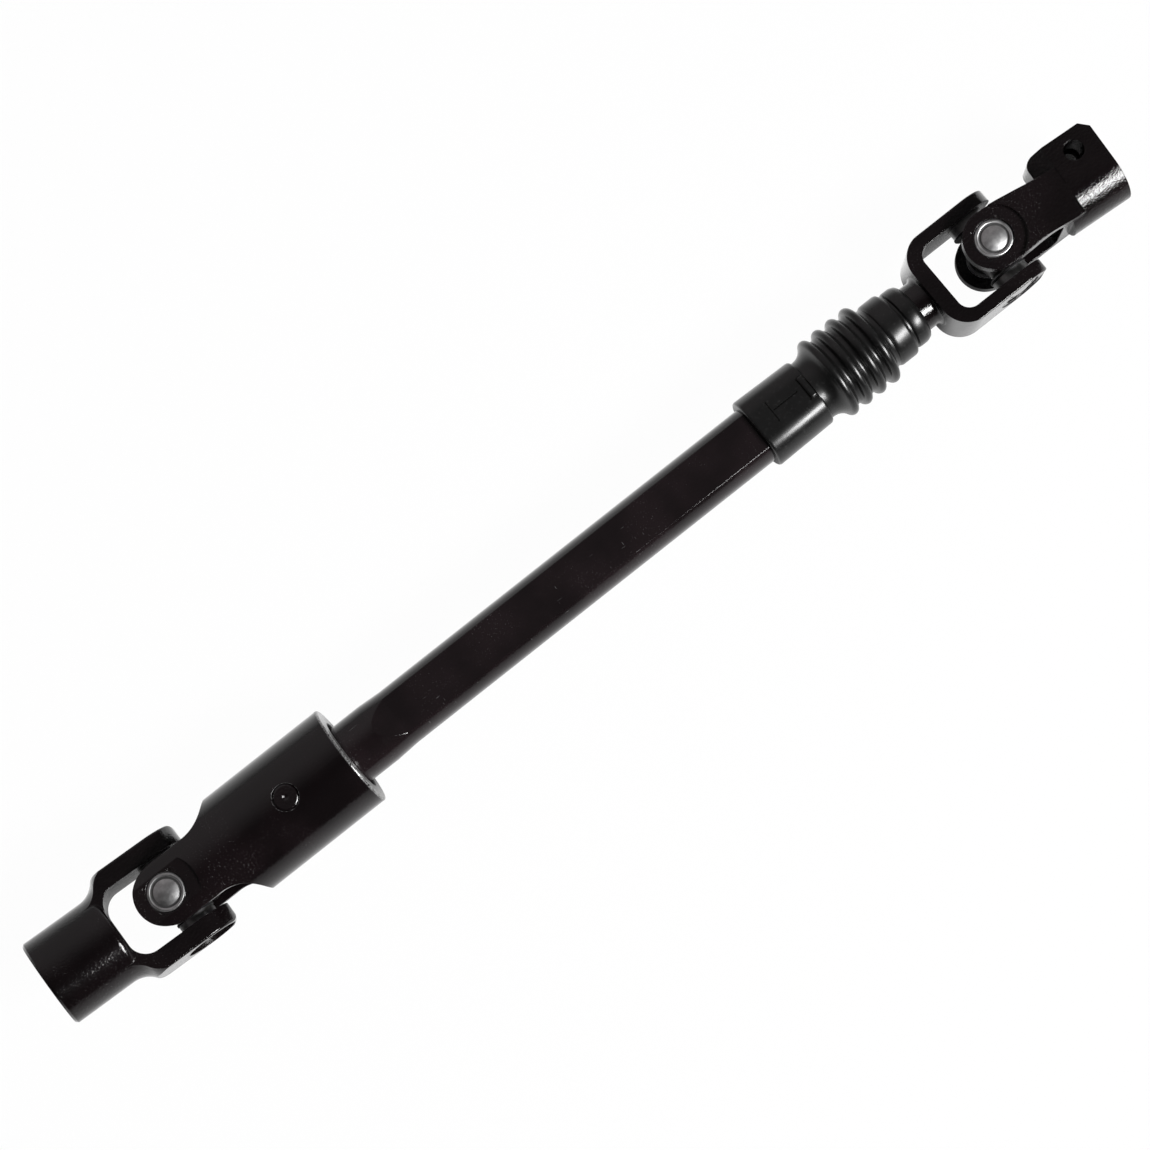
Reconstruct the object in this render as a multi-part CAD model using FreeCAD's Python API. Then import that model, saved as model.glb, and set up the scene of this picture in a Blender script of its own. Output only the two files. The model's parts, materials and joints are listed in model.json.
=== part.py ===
import FreeCAD, Part
import math
import os

# Intermediate steering shaft. All sizes are in millimetres.
# The tube's axis is X, with the steering gear at -X and the steering column at +X.
# Z points up. The origin is where the straight wall of the lower yoke's bore starts, just
# inside the chamfered mouth that takes the steering gear's shaft.
# Every yoke is first drawn straight, with its joint centre at the origin, its ears on
# the Y axis and its body along -X, and is then turned and bent to where it lies.

# Bearing cups, needles, seals and crosses, the same in both joints
cup_radius = 8.0
cup_wall = 1.0
cup_floor = 1.4
cup_length = 8.4
cup_recess = 0.6
cup_edge = 0.5
cup_groove_radius = 5.6
cup_groove_width = 0.9
cup_groove_depth = 0.35
cup_dome = 0.9
ear_seat = 21.0
needle_radius = 1.0
needle_length = 5.8
needle_count = 18
needle_play = 0.03
journal_end_play = 0.1
journal_drill_radius = 1.6
journal_drill_depth = 9.0
seal_radius = 8.4
seal_width = 1.6
seal_play = 0.05
seal_shoulder_gap = 0.3
cross_shoulder_radius = 6.6
cross_core_radius = 8.6
cross_core_width = 12.4
cross_edge = 0.8
stake_radius = 0.9
stake_depth = 0.4
stake_count = 4

# Lower yoke, clamped on the steering gear's shaft
lower_ear_radius = 12.8
lower_ear_inner = 15.5
lower_ear_outer = 23.5
lower_ear_edge = 0.9
lower_tip_round = 3.2
lower_seat_radius = 11.0
lower_floor = 27.5
lower_floor_corner = 8.0
lower_hub_radius = 18.8
lower_hub_round = 3.0
lower_reach = 60.6
lower_shoulder_start = 34.0
lower_shoulder_end = 18.0
lower_flank_end = 23.0
lower_bore_radius = 9.5
lower_slot_width = 3.0
lower_slot_length = 26.0
lower_mouth_chamfer = 1.0
lower_bolt_from_mouth = 13.8
lower_bolt_face = 12.4

# Upper clamp yoke, clamped on the steering column's shaft
clamp_ear_radius = 12.4
clamp_ear_inner = 15.8
clamp_crown_radius = 22.5
clamp_seat_radius = 13.4
clamp_floor = 27.0
clamp_floor_corner = 5.5
clamp_waist = 11.0
clamp_waist_end = 24.0
clamp_shoulder_start = 37.0
clamp_shoulder_end = 14.6
clamp_shoulder_blend = 2.4
clamp_barrel_radius = 14.4
clamp_reach = 58.3
clamp_barrel_start = 31.8
clamp_block_start = 29.5
clamp_block_top = 20.4
clamp_block_round = 4.0
clamp_block_chamfer = 3.6
clamp_block_nose = 7.2
clamp_block_nose_length = 8.0
clamp_bore_radius = 9.5
clamp_slot_width = 3.0
clamp_slot_end = 31.0
clamp_mouth_chamfer = 1.0
clamp_bolt_from_mouth = 10.8

# Pinch-bolt holes of both clamps, for M8 bolts
bolt_hole_radius = 4.2
bolt_tap_radius = 3.4
bolt_bite = 1.5
bolt_face_radius = 8.5

# Coupling yoke, with the cylinder that holds the tube
coupling_radius = 22.5
coupling_ear_radius = 13.1
coupling_ear_inner = 15.5
coupling_seat_radius = 13.9
coupling_floor = 27.5
coupling_floor_corner = 6.0
coupling_neck = 16.7
coupling_flare = 30.7
coupling_reach = 87.3
coupling_edge = 1.0
coupling_bore_floor = 33.0
coupling_bore_radius = 15.3
coupling_mouth_chamfer = 0.6

# Cross pin and rubber bush of the coupling
pin_radius = 5.5
pin_position = 59.0
pin_recess = 0.75
pin_chamfer = 0.5
pin_mark_radius = 1.3
pin_mark_depth = 0.8
pin_play = 0.5
bush_recess = 1.6

# Double-D tube
tube_round_radius = 13.3
tube_radius = 12.7
tube_flat = 9.5
tube_wall = 2.0
tube_floor_gap = 3.0
tube_run_start = 101.0
tube_run_end = 111.0
tube_end = 316.0
shaft_extension = 99.3

# Sliding inner shaft and its liner
liner_wall = 0.9
liner_start = 186.0
liner_inset = 3.0
slide_play = 0.05
shaft_start = 160.0
shaft_tip_chamfer = 1.2
spigot_radius = 6.0
spigot_inset = 0.5

# Upper fork on the inner shaft
fork_ear_radius = 12.6
fork_ear_inner = 15.8
fork_ear_outer = 21.3
fork_ear_edge = 0.6
fork_tip_round = 3.0
fork_seat_radius = 10.8
fork_floor = 26.6
fork_floor_corner = 5.5
fork_base = 33.3
fork_corner = 11.5
fork_stem_radius = 10.4
fork_stem_reach = 56.3
fork_stem_blend = 2.0

# Rubber boot, from its collar on the tube to its lip on the fork's stem
boot_wall = 1.4
boot_tube_overlap = 22.0
boot_collar_radius = 15.75
boot_collar_taper = 0.6
boot_collar_edge = 1.0
boot_collar_flat = 13.2
boot_collar_length = 27.0
boot_neck_radius = 13.7
boot_neck_length = 2.4
boot_first_fold_length = 37.4
boot_fold_pitch = 7.1
boot_fold_count = 4
boot_peak_radius = 18.45
boot_valley_radius = 15.9
boot_peak_share = 0.55
boot_sleeve_valley_radius = 13.9
boot_bellows_length = 63.8
boot_sleeve_radius = 14.75
boot_sleeve_length = 9.0
boot_groove_radius = 12.2
boot_groove_width = 1.6
boot_bead_radius = 13.35
boot_bead_length = 4.6
boot_lip_length = 2.0
boot_stem_play = 0.15

# How the joints lie bent, in degrees
lower_swing = -0.8
lower_tilt = 12.8
upper_tilt = -3.8
upper_swing = -4.6

X_AXIS = FreeCAD.Vector(1, 0, 0)
Y_AXIS = FreeCAD.Vector(0, 1, 0)
Z_AXIS = FreeCAD.Vector(0, 0, 1)
ORIGIN = FreeCAD.Vector(0, 0, 0)
PAST = 5.0

cup_face = ear_seat - cup_recess
cup_mouth = cup_face - cup_length
cup_bore_radius = cup_radius - cup_wall
needle_pitch_radius = cup_bore_radius - needle_play - needle_radius
journal_radius = needle_pitch_radius - needle_radius - needle_play
journal_end = cup_face - cup_floor - journal_end_play
cross_shoulder = cup_mouth - seal_width - seal_shoulder_gap
tube_start = coupling_bore_floor + tube_floor_gap
liner_end = tube_end - liner_inset
liner_radius = tube_radius - tube_wall
liner_flat = tube_flat - tube_wall
shaft_radius = liner_radius - liner_wall - slide_play
shaft_flat = liner_flat - liner_wall - slide_play
upper_centre = tube_end + shaft_extension
shaft_shoulder = upper_centre - fork_stem_reach
boot_start = tube_end - boot_tube_overlap
boot_first_peak = boot_start + boot_first_fold_length
boot_sleeve_valley = boot_start + boot_bellows_length
boot_sleeve_end = boot_sleeve_valley + boot_sleeve_length
boot_bead_end = boot_sleeve_end + boot_groove_width + boot_bead_length
boot_end = boot_bead_end + boot_lip_length
lower_bolt_offset = lower_bore_radius + bolt_hole_radius - bolt_bite
clamp_bolt_offset = clamp_bore_radius + bolt_hole_radius - bolt_bite


def vector(x, y, z=0.0):
    return FreeCAD.Vector(x, y, z)


def line(start, end):
    return Part.LineSegment(vector(*start), vector(*end)).toShape()


def arc(start, middle, end):
    return Part.Arc(vector(*start), vector(*middle), vector(*end)).toShape()


def path(points):
    """Straight edges from each point to the next."""
    return [line(a, b) for a, b in zip(points[:-1], points[1:])]


def s_curve(low, high, high_share):
    """Two tangent arcs from a low point to a high point, both level where they end.

    A point is a place along the axis and a radius. The high arc takes high_share
    of the two radii. The edges run from the low point to the high one.
    """
    span = high[0] - low[0]
    rise = high[1] - low[1]
    radii = (span ** 2 + rise ** 2) / (2 * rise)
    high_radius = high_share * radii
    low_radius = radii - high_radius
    return level_arcs(low, high, low_radius, high_radius)


def level_arcs(low, high, low_radius, high_radius):
    """A hollow arc over the low point and a round one under the high point."""
    low_centre = (low[0], low[1] + low_radius)
    high_centre = (high[0], high[1] - high_radius)
    share = low_radius / (low_radius + high_radius)
    meet_x = low_centre[0] + share * (high_centre[0] - low_centre[0])
    meet_y = low_centre[1] + share * (high_centre[1] - low_centre[1])
    meet = (meet_x, meet_y)
    low_edge = arc(low, arc_middle(low, meet, low_centre, low_radius), meet)
    high_edge = arc(meet, arc_middle(meet, high, high_centre, high_radius), high)
    return [low_edge, high_edge]


def tapered(low, high, blend):
    """A straight slope from a low point to a high one, rounded into level at both ends.

    The slope's corner with the level at each end would lie blend from that end.
    """
    angle = math.atan2(high[1] - low[1], high[0] - low[0] - 2 * blend)
    radius = blend / math.tan(angle / 2)
    along = blend * (1 + math.cos(angle))
    rise = blend * math.sin(angle)
    foot = (low[0] + along, low[1] + rise)
    crest = (high[0] - along, high[1] - rise)
    low_centre = (low[0], low[1] + radius)
    high_centre = (high[0], high[1] - radius)
    low_edge = arc(low, arc_middle(low, foot, low_centre, radius), foot)
    high_edge = arc(crest, arc_middle(crest, high, high_centre, radius), high)
    return [low_edge, line(foot, crest), high_edge]


def arc_middle(start, end, centre, radius):
    """The middle point of the short arc between two points of a circle."""
    across = vector((start[0] + end[0]) / 2 - centre[0], (start[1] + end[1]) / 2 - centre[1])
    across.normalize()
    return (centre[0] + radius * across.x, centre[1] + radius * across.y)


def quarter(corner, radius, to_x, to_y):
    """A quarter circle that rounds a square corner. to_x and to_y are 1 or -1 and point
    from the corner along its two straight edges."""
    short = radius * (1 - math.sqrt(0.5))
    start = (corner[0] + to_x * radius, corner[1])
    middle = (corner[0] + to_x * short, corner[1] + to_y * short)
    return arc(start, middle, (corner[0], corner[1] + to_y * radius))


def flat_face(edges):
    """A face inside edges that may be given in any order or direction."""
    return Part.Face(Part.Wire(Part.__sortEdges__(edges)))


def turned(edges):
    """A solid of revolution on the X axis, from edges in the XY plane."""
    return flat_face(edges).revolve(ORIGIN, X_AXIS, 360)


def turned_points(points):
    """A solid of revolution on the X axis, from corners given as (x, radius)."""
    return turned(path(points + points[:1]))


def cylinder(radius, start, end, axis=X_AXIS, centre=ORIGIN):
    return Part.makeCylinder(radius, end - start, centre + axis * start, axis)


def block(x_span, y_span, z_span):
    corner = vector(x_span[0], y_span[0], z_span[0])
    return Part.makeBox(x_span[1] - x_span[0], y_span[1] - y_span[0], z_span[1] - z_span[0], corner)


def across_y(edges, half_width):
    """A face drawn as (x, z) and made 2 * half_width thick on both sides of y = 0."""
    face = flat_face(edges)
    face.rotate(ORIGIN, X_AXIS, 90)
    face.translate(Y_AXIS * half_width)
    return face.extrude(Y_AXIS * (-2 * half_width))


def across_z(edges, half_width):
    """A face drawn as (x, y) and made 2 * half_width thick on both sides of z = 0."""
    face = flat_face(edges)
    face.translate(Z_AXIS * -half_width)
    return face.extrude(Z_AXIS * (2 * half_width))


def ear_outline(radius, back):
    """The side view of an ear: a round end about the pin, and straight sides to back."""
    sides = path([(0, radius), (-back, radius), (-back, -radius), (0, -radius)])
    return sides + [arc((0, -radius), (radius, 0), (0, radius))]


def fork_opening(half_gap, floor, corner, ear_radius, half_depth):
    """The space between a yoke's arms, open at the ears, with rounded floor corners."""
    return across_z(rounded_u(half_gap, floor, corner, ear_radius + PAST), half_depth)


def rounded_u(half_width, base, corner, end):
    """The outline of a U on its side, from its base at -base to its square end."""
    turn = corner - base
    edges = path([(turn, half_width), (end, half_width), (end, -half_width), (turn, -half_width)])
    edges += path([(-base, corner - half_width), (-base, half_width - corner)])
    edges.append(quarter((-base, -half_width), corner, 1, 1))
    edges.append(quarter((-base, half_width), corner, 1, -1))
    return edges


def tip_rounding(outer, ear_radius, corner, back):
    """The room for two ears with their outer tip corners rounded, as far back as -back."""
    room = across_z(rounded_u(outer, ear_radius, corner, back), ear_radius + PAST)
    return room.mirror(ORIGIN, X_AXIS)


def bored_ears(yoke, seat_radius, outer):
    """Cuts the two cup holes, the flat seats round them and the stake marks."""
    reach = outer + PAST
    yoke = yoke.cut(cylinder(cup_radius, -reach, reach, Y_AXIS))
    for side in (Y_AXIS, -Y_AXIS):
        yoke = yoke.cut(cylinder(seat_radius, ear_seat, reach, side))
        yoke = yoke.cut(stake_marks(side))
    return yoke


def stake_marks(side):
    """Punch marks in the ear's seat that press metal over the cup's edge."""
    marks = []
    for number in range(stake_count):
        angle = 2 * math.pi * (number + 0.5) / stake_count
        centre = vector(math.cos(angle), 0, math.sin(angle)) * (cup_radius + stake_radius / 2)
        marks.append(cylinder(stake_radius, ear_seat - stake_depth, ear_seat + PAST, side, centre))
    return Part.makeCompound(marks)


def bore(radius, reach, floor, chamfer):
    """A through bore from the yoke's mouth to the opening, with a chamfered mouth."""
    hole = cylinder(radius, -reach - PAST, -floor + PAST)
    return hole.fuse(mouth_cone(radius, reach, chamfer))


def mouth_cone(radius, reach, chamfer):
    """The widening of a bore at a yoke's mouth."""
    outside = -reach - PAST
    inside = chamfer - reach
    wide = radius + chamfer + PAST
    return turned_points([(outside, 0), (outside, wide), (inside, radius), (inside, 0)])


def pinch_hole(centre, half_depth):
    """The clearance hole on the +Y side and the tapped one on the -Y side."""
    wide = cylinder(bolt_hole_radius, 0, half_depth, Y_AXIS, centre)
    return wide.fuse(cylinder(bolt_tap_radius, -half_depth, 0, Y_AXIS, centre))


def shouldered(slope, foot, top, end):
    """The edges round a slope from a foot to a top and the level run from there to end."""
    return slope + path([top, (end, top[1]), (end, 0), (foot[0], 0), foot])


def flat_shouldered(slope, foot, top, end):
    """The solid under a shoulder's outline and its mirror image, with flat faces across Z."""
    upper = across_z(shouldered(slope, foot, top, end), end)
    return upper.fuse(upper.mirror(ORIGIN, Y_AXIS))


def make_lower_yoke():
    """The forged yoke with a round hub, a clamp slot below and its pinch-bolt hole."""
    foot = (-lower_shoulder_start, lower_hub_radius)
    end = lower_ear_radius + PAST
    corner = math.hypot(lower_ear_outer, lower_ear_radius)
    round_top = (-lower_shoulder_end, corner)
    flat_top = (-lower_flank_end, lower_ear_outer)
    envelope = turned(shouldered(s_curve(foot, round_top, 0.5), foot, round_top, end))
    flanks = flat_shouldered(s_curve(foot, flat_top, 0.5), foot, flat_top, end)
    arms = across_y(ear_outline(lower_ear_radius, lower_shoulder_start), lower_ear_outer)
    rims = [edge for edge in arms.Edges if on_ear_rim(edge, lower_ear_outer)]
    arms = arms.makeFillet(lower_ear_edge, rims).common(envelope).common(flanks)
    tips = tip_rounding(lower_ear_outer, lower_ear_radius, lower_tip_round, lower_reach)
    arms = arms.common(tips)
    hub_end = -lower_floor
    chamfer = lower_mouth_chamfer
    hub_round = lower_hub_round
    hub = path(
        [
            (hub_end - hub_round, lower_hub_radius),
            (chamfer - lower_reach, lower_hub_radius),
            (-lower_reach, lower_hub_radius - chamfer),
            (-lower_reach, 0),
            (hub_end, 0),
            (hub_end, lower_hub_radius - hub_round),
        ]
    )
    hub.append(quarter((hub_end, lower_hub_radius), hub_round, -1, -1))
    yoke = arms.fuse(turned(hub))
    half_depth = lower_hub_radius + PAST
    opening = fork_opening(lower_ear_inner, lower_floor, lower_floor_corner, lower_ear_radius, half_depth)
    yoke = yoke.cut(opening)
    yoke = bored_ears(yoke, lower_seat_radius, lower_ear_outer)
    yoke = yoke.cut(bore(lower_bore_radius, lower_reach, lower_floor, lower_mouth_chamfer))
    half_slot = lower_slot_width / 2
    slot_x = (-lower_reach - PAST, lower_slot_length - lower_reach)
    yoke = yoke.cut(block(slot_x, (-half_slot, half_slot), (-half_depth, 0)))
    bolt_centre = vector(lower_bolt_from_mouth - lower_reach, 0, -lower_bolt_offset)
    yoke = yoke.cut(pinch_hole(bolt_centre, half_depth))
    for side in (Y_AXIS, -Y_AXIS):
        yoke = yoke.cut(cylinder(bolt_face_radius, lower_bolt_face, half_depth, side, bolt_centre))
    return yoke.removeSplitter()


def on_ear_rim(edge, outer):
    """True for the edges round the outer face of an ear, its back edge left out."""
    box = edge.BoundBox
    on_face = box.YLength < 1e-6 and abs(abs(box.Center.y) - outer) < 1e-6
    return on_face and box.XLength > 1e-6


def make_coupling_yoke():
    """The yoke whose arms grow out of the 45 mm cylinder that holds the tube."""
    neck = coupling_ear_radius
    span = coupling_flare - coupling_neck
    rise = coupling_radius - neck
    flare_radius = (span ** 2 + rise ** 2) / (2 * rise)
    half_turn = math.asin(span / flare_radius) / 2
    middle_x = coupling_neck + flare_radius * math.sin(half_turn)
    middle_z = neck + flare_radius * (1 - math.cos(half_turn))
    side = coupling_radius + PAST
    edges = [arc((0, -neck), (neck, 0), (0, neck))]
    for up in (1, -1):
        corner = (-coupling_flare, up * coupling_radius)
        edges += path([(0, up * neck), (-coupling_neck, up * neck)])
        edges.append(arc((-coupling_neck, up * neck), (-middle_x, up * middle_z), corner))
        edges += path([corner, (-coupling_flare, up * side), (-coupling_reach - PAST, up * side)])
    edges += path([(-coupling_reach - PAST, side), (-coupling_reach - PAST, -side)])
    edge = coupling_edge
    rim = [quarter((-coupling_reach, coupling_radius), edge, 1, -1)]
    rim += path(
        [
            (edge - coupling_reach, coupling_radius),
            (neck + PAST, coupling_radius),
            (neck + PAST, 0),
            (-coupling_reach, 0),
            (-coupling_reach, coupling_radius - edge),
        ]
    )
    yoke = turned(rim).common(across_y(edges, coupling_radius + PAST))
    yoke = yoke.cut(fork_opening(coupling_ear_inner, coupling_floor, coupling_floor_corner, neck, side))
    yoke = bored_ears(yoke, coupling_seat_radius, coupling_radius)
    yoke = yoke.cut(cylinder(coupling_bore_radius, -coupling_reach - PAST, -coupling_bore_floor))
    yoke = yoke.cut(mouth_cone(coupling_bore_radius, coupling_reach, coupling_mouth_chamfer))
    pin_centre = X_AXIS * -pin_position
    yoke = yoke.cut(cylinder(pin_radius, -side, side, Y_AXIS, pin_centre))
    return toward_column(yoke.removeSplitter())


def make_clamp_yoke():
    """The forged yoke with a slotted clamp block beside its barrel."""
    ear = clamp_ear_radius
    foot = (-clamp_shoulder_start, clamp_barrel_radius)
    top = (-clamp_shoulder_end, clamp_crown_radius)
    slope = tapered(foot, top, clamp_shoulder_blend)
    envelope = flat_shouldered(slope, foot, top, ear + PAST)
    waist = clamp_waist
    edges = [arc((0, -ear), (ear, 0), (0, ear))]
    for up in (1, -1):
        swell = s_curve((-clamp_waist_end, waist), (0, ear), 0.5)
        if up < 0:
            swell = [edge.mirror(ORIGIN, Y_AXIS) for edge in swell]
        edges += swell
        edges += path([(-clamp_waist_end, up * waist), (-clamp_shoulder_start, up * waist)])
    edges += path([(-clamp_shoulder_start, waist), (-clamp_shoulder_start, -waist)])
    yoke = across_y(edges, clamp_crown_radius + PAST).common(envelope)
    yoke = yoke.fuse(clamp_barrel())
    half_depth = clamp_crown_radius + PAST
    yoke = yoke.cut(fork_opening(clamp_ear_inner, clamp_floor, clamp_floor_corner, ear, half_depth))
    yoke = bored_ears(yoke, clamp_seat_radius, clamp_crown_radius)
    yoke = yoke.cut(bore(clamp_bore_radius, clamp_reach, clamp_floor, clamp_mouth_chamfer))
    half_slot = clamp_slot_width / 2
    slot_x = (-clamp_reach - PAST, -clamp_slot_end)
    yoke = yoke.cut(block(slot_x, (-half_slot, half_slot), (0, clamp_block_top + PAST)))
    bolt_centre = vector(clamp_bolt_from_mouth - clamp_reach, 0, clamp_bolt_offset)
    yoke = yoke.cut(pinch_hole(bolt_centre, clamp_barrel_radius + PAST))
    return toward_column(yoke.removeSplitter())


def clamp_barrel():
    """The barrel round the bore and the block beside it, with flat faces for the bolt."""
    barrel = cylinder(clamp_barrel_radius, -clamp_reach, -clamp_barrel_start)
    top = clamp_block_top
    cut = clamp_block_chamfer
    inner_corner = (-clamp_block_start - clamp_block_round, top)
    edges = path(
        [
            (-clamp_block_start, top - clamp_block_round),
            (-clamp_block_start, 0),
            (-clamp_reach, 0),
            (-clamp_reach, top - cut),
            (cut - clamp_reach, top),
            inner_corner,
        ]
    )
    edges.append(quarter((-clamp_block_start, top), clamp_block_round, -1, -1))
    lump = across_y(edges, clamp_barrel_radius).common(block_plan())
    return barrel.fuse(lump)


def block_plan():
    """The clamp block seen from its side, with sloping faces at its nose."""
    side = clamp_barrel_radius
    nose = clamp_block_nose
    full = -clamp_block_start - clamp_block_nose_length
    end = -clamp_reach
    start = -clamp_block_start
    one_side = [(start, -nose), (start, nose), (full, side), (end, side)]
    other_side = [(end, -side), (full, -side), (start, -nose)]
    return across_z(path(one_side + other_side), clamp_block_top + PAST)


def make_upper_fork():
    """The flat-armed fork with a round stem that the inner shaft is pressed into."""
    outer = fork_ear_outer
    end = fork_ear_radius + PAST
    plan = across_z(rounded_u(outer, fork_base, fork_corner, end), end)
    arms = across_y(ear_outline(fork_ear_radius, fork_base), outer)
    rims = [edge for edge in arms.Edges if on_ear_rim(edge, outer)]
    arms = arms.makeFillet(fork_ear_edge, rims).common(plan)
    arms = arms.common(tip_rounding(outer, fork_ear_radius, fork_tip_round, fork_stem_reach))
    blend = fork_stem_blend
    stem_top = fork_stem_radius + blend
    stem = path(
        [
            (-fork_base - blend, fork_stem_radius),
            (-fork_stem_reach, fork_stem_radius),
            (-fork_stem_reach, 0),
            (-fork_floor, 0),
            (-fork_floor, stem_top),
            (-fork_base, stem_top),
        ]
    )
    stem.append(quarter((-fork_base, fork_stem_radius), blend, -1, 1))
    fork = arms.fuse(turned(stem))
    fork = fork.cut(fork_opening(fork_ear_inner, fork_floor, fork_floor_corner, fork_ear_radius, end))
    fork = bored_ears(fork, fork_seat_radius, outer)
    fork = fork.cut(cylinder(spigot_radius, -fork_stem_reach - PAST, -fork_floor + PAST))
    return fork.removeSplitter()


def toward_column(shape):
    """Turns a yoke so that its body runs along +X and its ears lie on the Z axis."""
    shape.rotate(ORIGIN, Y_AXIS + Z_AXIS, 180)
    return shape


def make_cross():
    """A cross with journals on the Y and Z axes, drilled from their ends."""
    half_core = cross_core_width / 2
    core = cylinder(cross_core_radius, -half_core, half_core)
    core = core.makeChamfer(cross_edge, core.Edges[:1] + core.Edges[2:3])
    arm = turned_points(
        [
            (0, 0),
            (0, cross_shoulder_radius),
            (cross_shoulder - cross_edge, cross_shoulder_radius),
            (cross_shoulder, cross_shoulder_radius - cross_edge),
            (cross_shoulder, journal_radius),
            (journal_end - cross_edge, journal_radius),
            (journal_end, journal_radius - cross_edge),
            (journal_end, 0),
        ]
    )
    drill = cylinder(journal_drill_radius, journal_end - journal_drill_depth, journal_end + PAST)
    cross = core
    for side in (Y_AXIS, -Y_AXIS, Z_AXIS, -Z_AXIS):
        cross = cross.fuse(aimed(arm, side))
    for side in (Y_AXIS, -Y_AXIS, Z_AXIS, -Z_AXIS):
        cross = cross.cut(aimed(drill, side))
    return cross.removeSplitter()


def make_cup():
    """A bearing cup along +X, closed by a face with a ring groove round a low dome."""
    groove_outer = cup_groove_radius + cup_groove_width / 2
    groove_inner = cup_groove_radius - cup_groove_width / 2
    groove_floor = cup_face - cup_groove_depth
    dome_radius = (groove_inner ** 2 + cup_dome ** 2) / (2 * cup_dome)
    dome_foot = (cup_face, groove_inner)
    dome_top = (cup_face + cup_dome, 0)
    dome_middle = arc_middle(dome_foot, dome_top, (dome_top[0] - dome_radius, 0), dome_radius)
    wall = path(
        [
            dome_top,
            (cup_face - cup_floor, 0),
            (cup_face - cup_floor, cup_bore_radius),
            (cup_mouth, cup_bore_radius),
            (cup_mouth, cup_radius),
            (cup_face - cup_edge, cup_radius),
            (cup_face, cup_radius - cup_edge),
            (cup_face, groove_outer),
            (groove_floor, groove_outer),
            (groove_floor, groove_inner),
            dome_foot,
        ]
    )
    return turned(wall + [arc(dome_foot, dome_middle, dome_top)])


def make_needles():
    """The full ring of loose needles between a cup and its journal, along +X."""
    end = cup_face - cup_floor - journal_end_play
    needles = []
    for number in range(needle_count):
        angle = 2 * math.pi * number / needle_count
        centre = vector(0, math.cos(angle), math.sin(angle)) * needle_pitch_radius
        needles.append(cylinder(needle_radius, end - needle_length, end, X_AXIS, centre))
    return Part.makeCompound(needles)


def make_seal():
    """The lip seal on a cup's mouth, along +X."""
    lip = journal_radius + seal_play
    back = cup_mouth - seal_width
    return turned_points(
        [
            (cup_mouth, lip),
            (cup_mouth, seal_radius),
            (back + seal_width / 2, seal_radius),
            (back, seal_radius - seal_width / 2),
            (back, lip + seal_width / 2),
            (back + seal_width / 2, lip),
        ]
    )


def aimed(shape, direction):
    """A copy of a shape that was made along +X, turned to another direction."""
    copy = shape.copy()
    turn = FreeCAD.Rotation(X_AXIS, direction)
    copy.Placement = FreeCAD.Placement(ORIGIN, turn).multiply(copy.Placement)
    return copy


def make_coupling_pin():
    """The cross pin through the coupling and the tube, with a centre mark at each end."""
    half = coupling_radius - pin_recess
    mark = half - pin_mark_depth
    pin = turned_points(
        [
            (-mark, 0),
            (-half, pin_mark_radius),
            (-half, pin_radius - pin_chamfer),
            (pin_chamfer - half, pin_radius),
            (half - pin_chamfer, pin_radius),
            (half, pin_radius - pin_chamfer),
            (half, pin_mark_radius),
            (mark, 0),
        ]
    )
    pin = aimed(pin, Z_AXIS)
    pin.translate(X_AXIS * pin_position)
    return pin


def make_isolator_bush():
    """The rubber ring between the coupling's bore and the tube."""
    bush_end = coupling_reach - bush_recess
    bush = cylinder(coupling_bore_radius, tube_start, bush_end)
    bush = bush.cut(cylinder(tube_round_radius, tube_start - PAST, bush_end + PAST))
    return bush.cut(pin_passage())


def pin_passage():
    """The clear hole round the cross pin in the tube and the rubber ring."""
    side = coupling_radius + PAST
    return cylinder(pin_radius + pin_play, -side, side, Z_AXIS, X_AXIS * pin_position)


def tube_form(inset, past):
    """The tube's outside, or its inside when inset is the wall."""
    start = tube_start - past
    end = tube_end + past
    form = turned_points(
        [
            (start, 0),
            (start, tube_round_radius - inset),
            (tube_run_start, tube_round_radius - inset),
            (tube_run_end, tube_radius - inset),
            (end, tube_radius - inset),
            (end, 0),
        ]
    )
    flat = tube_flat - inset
    top = tube_round_radius + PAST
    for up in (1, -1):
        ramp = path(
            [
                (tube_run_start, up * (tube_round_radius - inset)),
                (tube_run_end, up * flat),
                (end + PAST, up * flat),
                (end + PAST, up * top),
                (tube_run_start, up * top),
                (tube_run_start, up * (tube_round_radius - inset)),
            ]
        )
        form = form.cut(across_y(ramp, top))
    return form


def make_outer_tube():
    """The tube: round where the coupling holds it, with two flats from there on."""
    tube = tube_form(0, 0).cut(tube_form(tube_wall, PAST))
    return tube.cut(pin_passage())


def double_d(radius, flat, start, end):
    """A bar with two flats across Z."""
    bar = cylinder(radius, start, end)
    return bar.common(block((start, end), (-radius, radius), (-flat, flat)))


def make_slide_liner():
    """The sleeve of the tube's inner shape that the inner shaft slides in."""
    liner = double_d(liner_radius, liner_flat, liner_start, liner_end)
    inside_radius = shaft_radius + slide_play
    inside_flat = shaft_flat + slide_play
    return liner.cut(double_d(inside_radius, inside_flat, liner_start - PAST, liner_end + PAST))


def make_inner_shaft():
    """The double-D bar with a turned spigot that is pressed into the fork."""
    bar = double_d(shaft_radius, shaft_flat, shaft_start, shaft_shoulder)
    chamfer = shaft_tip_chamfer
    tip = turned_points(
        [
            (shaft_start, 0),
            (shaft_start, shaft_radius - chamfer),
            (shaft_start + chamfer, shaft_radius),
            (shaft_shoulder, shaft_radius),
            (shaft_shoulder, 0),
        ]
    )
    spigot_end = upper_centre - fork_floor - spigot_inset
    return bar.common(tip).fuse(cylinder(spigot_radius, shaft_shoulder, spigot_end))


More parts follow.
